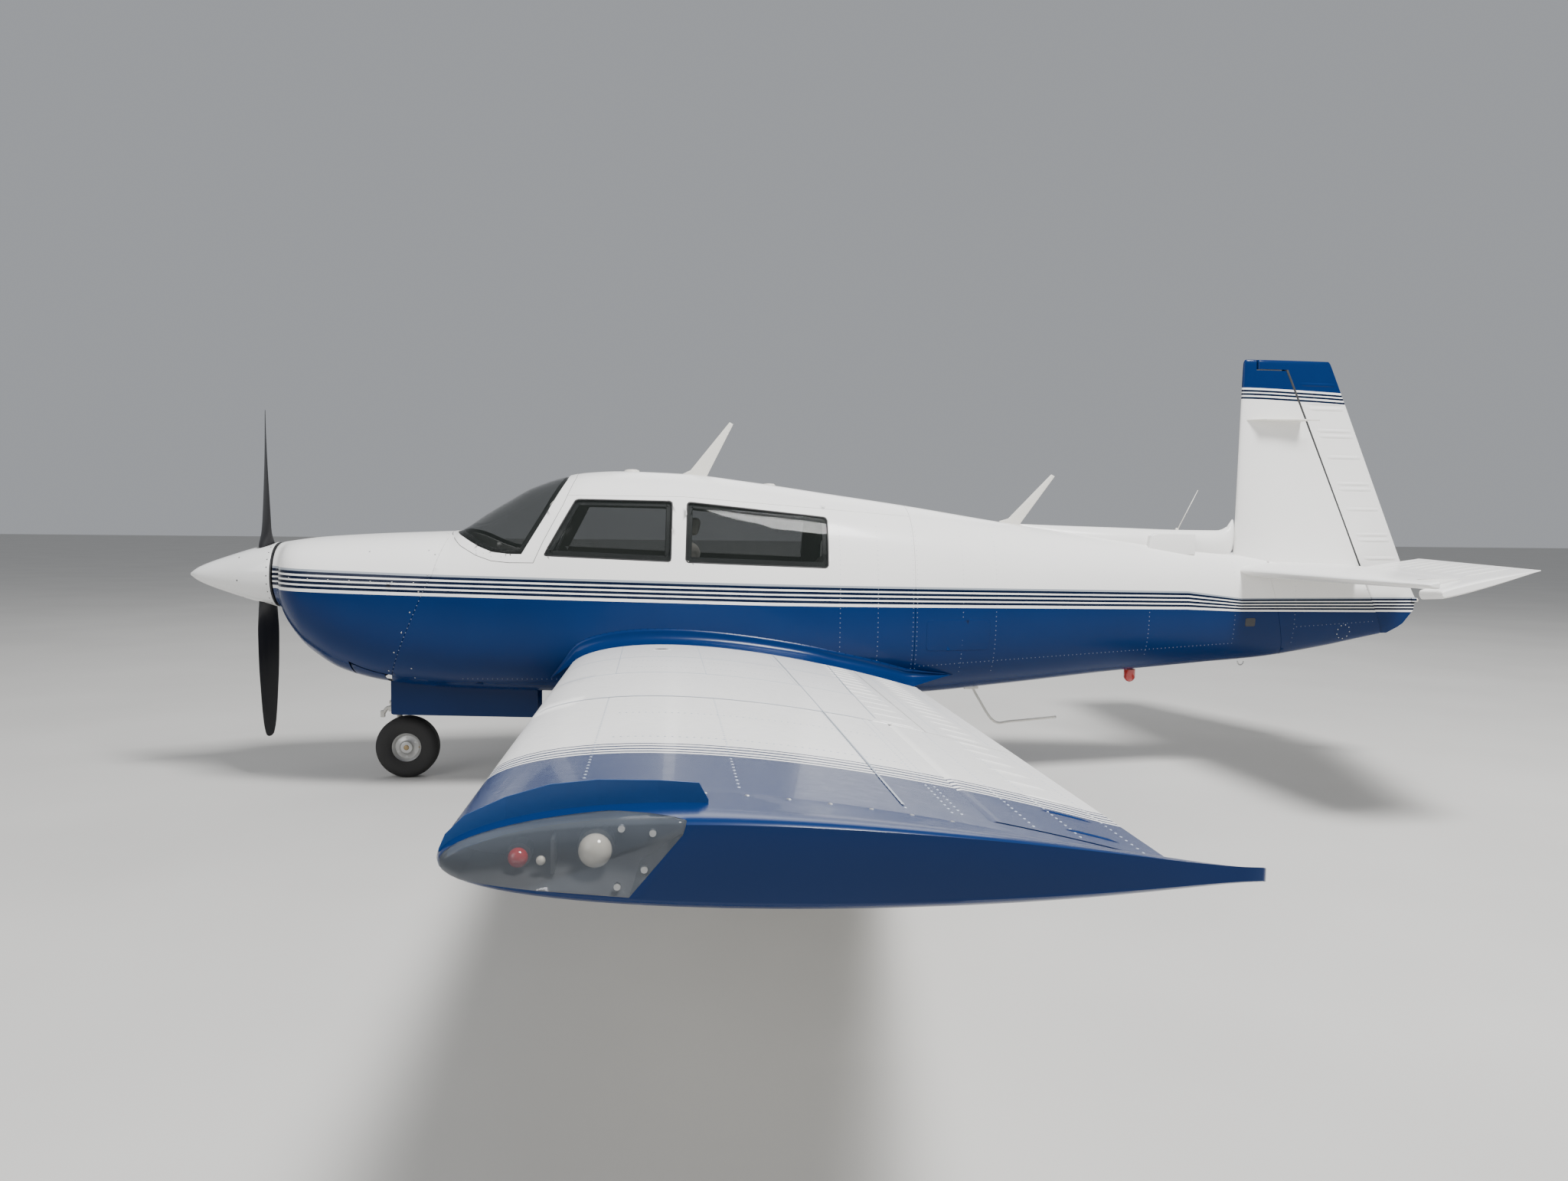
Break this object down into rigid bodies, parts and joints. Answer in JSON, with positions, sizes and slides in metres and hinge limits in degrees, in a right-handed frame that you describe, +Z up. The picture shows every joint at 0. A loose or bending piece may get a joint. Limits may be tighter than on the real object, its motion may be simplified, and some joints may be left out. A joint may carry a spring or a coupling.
{
  "type": "light aircraft",
  "caption": "Low-wing single-engine light aircraft with a straight upright fin, swept-forward tail hinges and tricycle gear, white over blue.",
  "frame": {"origin": "on the ground, under the middle of the overall length and span", "axes": "+X aft towards the tail, +Y to the aircraft's right, +Z up"},
  "size_m": [7.52, 11, 2.562],
  "materials": {
    "skin": "gloss painted sheet",
    "glass": "clear acrylic sheet",
    "engine": null,
    "steel": "satin",
    "blade": "matt black paint",
    "tyre": "matt",
    "wheel": "cast, painted",
    "trim": "matt",
    "cloth": "woven"
  },
  "bodies": {
    "airframe": {"baggage_bulkhead": "cloth", "belly_skin": "skin", "cabin_floor": "trim", "cabin_roof": "skin", "cabin_wall_left": "skin", "cabin_wall_right": "skin", "cowl_lower": "skin", "cowl_upper": "skin", "dorsal_fairing": "skin", "engine_block": "engine", "fin": "skin", "firewall": "skin", "forward_fuselage": "skin", "instrument_panel": "trim", "main_gear_door_left": "skin", "main_gear_door_right": "skin", "main_leg_left": "steel", "main_leg_right": "steel", "nose_gear_door_left": "skin", "nose_gear_door_right": "skin", "nose_wheel_well": "skin", "roof_aerial": "skin", "seat_front_left": "cloth", "seat_front_right": "cloth", "seat_rear": "cloth", "stabilizer_left": "skin", "stabilizer_right": "skin", "tail_aerial": "skin", "tail_cone": "skin", "window_front_left": "glass", "window_rear_left": "glass", "window_rear_right": "glass", "windshield": "glass", "wing_left": "skin", "wing_right": "skin", "wing_tip_left": "skin", "wing_tip_right": "skin"},
    "propeller": {"spinner": "skin", "spinner_backplate": "steel", "propeller_blade_upper": "blade", "propeller_blade_lower": "blade"},
    "nose_strut": {"nose_leg": "steel"},
    "nose_wheel": {"nose_wheel_tyre": "tyre", "nose_wheel_hub": "wheel"},
    "main_wheel_left": {"main_wheel_left_tyre": "tyre", "main_wheel_left_hub": "wheel"},
    "main_wheel_right": {"main_wheel_right_tyre": "tyre", "main_wheel_right_hub": "wheel"},
    "aileron_left": {"aileron_left": "skin"},
    "aileron_right": {"aileron_right": "skin"},
    "flap_left": {"flap_left": "skin"},
    "flap_right": {"flap_right": "skin"},
    "elevator_left": {"elevator_left": "skin"},
    "elevator_right": {"elevator_right": "skin"},
    "rudder": {"rudder": "skin"},
    "cabin_door": {"cabin_door": "skin", "cabin_door_window": "glass"},
    "baggage_door": {"baggage_door": "skin"},
    "cowl_flap_left": {"cowl_flap_left": "skin"},
    "cowl_flap_right": {"cowl_flap_right": "skin"}
  },
  "joints": [
    {"name": "propeller_spin", "type": "hinge", "parent": "airframe", "child": "propeller", "pos_m": [-3.335, 0, 1.187], "axis": [1, 0, 0], "continuous": true},
    {"name": "nose_steering", "type": "hinge", "parent": "airframe", "child": "nose_strut", "pos_m": [-2.635, 0, 0.4], "axis": [0.1209, 0, 0.9927], "range_deg": [-14, 14]},
    {"name": "nose_wheel_spin", "type": "hinge", "parent": "nose_strut", "child": "nose_wheel", "pos_m": [-2.557, 0, 0.17896], "axis": [0, 1, 0], "continuous": true},
    {"name": "main_wheel_left_spin", "type": "hinge", "parent": "airframe", "child": "main_wheel_left", "pos_m": [-0.729, -1.395, 0.22035], "axis": [0, 1, 0], "continuous": true},
    {"name": "main_wheel_right_spin", "type": "hinge", "parent": "airframe", "child": "main_wheel_right", "pos_m": [-0.729, 1.395, 0.22035], "axis": [0, 1, 0], "continuous": true},
    {"name": "aileron_left_hinge", "type": "hinge", "parent": "airframe", "child": "aileron_left", "pos_m": [-0.51109, -4.5285, 0.98228], "axis": [0.0907, 0.9924, -0.0834], "range_deg": [-11, 11]},
    {"name": "flap_left_hinge", "type": "hinge", "parent": "airframe", "child": "flap_left", "pos_m": [-0.30106, -2.23, 0.78906], "axis": [0.0907, 0.9924, -0.0834], "range_deg": [0, 33]},
    {"name": "elevator_left_hinge", "type": "hinge", "parent": "airframe", "child": "elevator_left", "pos_m": [3.07508, -0.895, 1.25], "axis": [-0.2838, -0.9589, 0], "range_deg": [-6, 36]},
    {"name": "cowl_flap_left_hinge", "type": "hinge", "parent": "airframe", "child": "cowl_flap_left", "pos_m": [-2.779, -0.275, 0.6523], "axis": [0, 1, 0], "range_deg": [0, 18]},
    {"name": "aileron_right_hinge", "type": "hinge", "parent": "airframe", "child": "aileron_right", "pos_m": [-0.51109, 4.5285, 0.98228], "axis": [-0.0907, 0.9924, 0.0834], "range_deg": [-11, 11]},
    {"name": "flap_right_hinge", "type": "hinge", "parent": "airframe", "child": "flap_right", "pos_m": [-0.30106, 2.23, 0.78906], "axis": [-0.0907, 0.9924, 0.0834], "range_deg": [0, 33]},
    {"name": "elevator_right_hinge", "type": "hinge", "parent": "airframe", "child": "elevator_right", "pos_m": [3.07508, 0.895, 1.25], "axis": [0.2838, -0.9589, 0], "range_deg": [-6, 36]},
    {"name": "cowl_flap_right_hinge", "type": "hinge", "parent": "airframe", "child": "cowl_flap_right", "pos_m": [-2.779, 0.275, 0.6523], "axis": [0, 1, 0], "range_deg": [0, 18]},
    {"name": "rudder_hinge", "type": "hinge", "parent": "airframe", "child": "rudder", "pos_m": [3.25431, 0, 1.5], "axis": [-0.3997, 0, 0.9167], "range_deg": [-24, 24]},
    {"name": "cabin_door_hinge", "type": "hinge", "parent": "airframe", "child": "cabin_door", "pos_m": [-1.769, 0.601, 1.1], "axis": [0, 0, 1], "range_deg": [0, 80]},
    {"name": "baggage_door_hinge", "type": "hinge", "parent": "airframe", "child": "baggage_door", "pos_m": [0.14, 0.45647, 1.426], "axis": [0.9891, -0.1474, 0], "range_deg": [0, 90]}
  ],
  "couplings": [
    {"joint": "aileron_right_hinge", "follows": "aileron_left_hinge", "ratio": -1},
    {"joint": "flap_right_hinge", "follows": "flap_left_hinge", "ratio": 1},
    {"joint": "elevator_right_hinge", "follows": "elevator_left_hinge", "ratio": 1},
    {"joint": "cowl_flap_right_hinge", "follows": "cowl_flap_left_hinge", "ratio": 1}
  ]
}
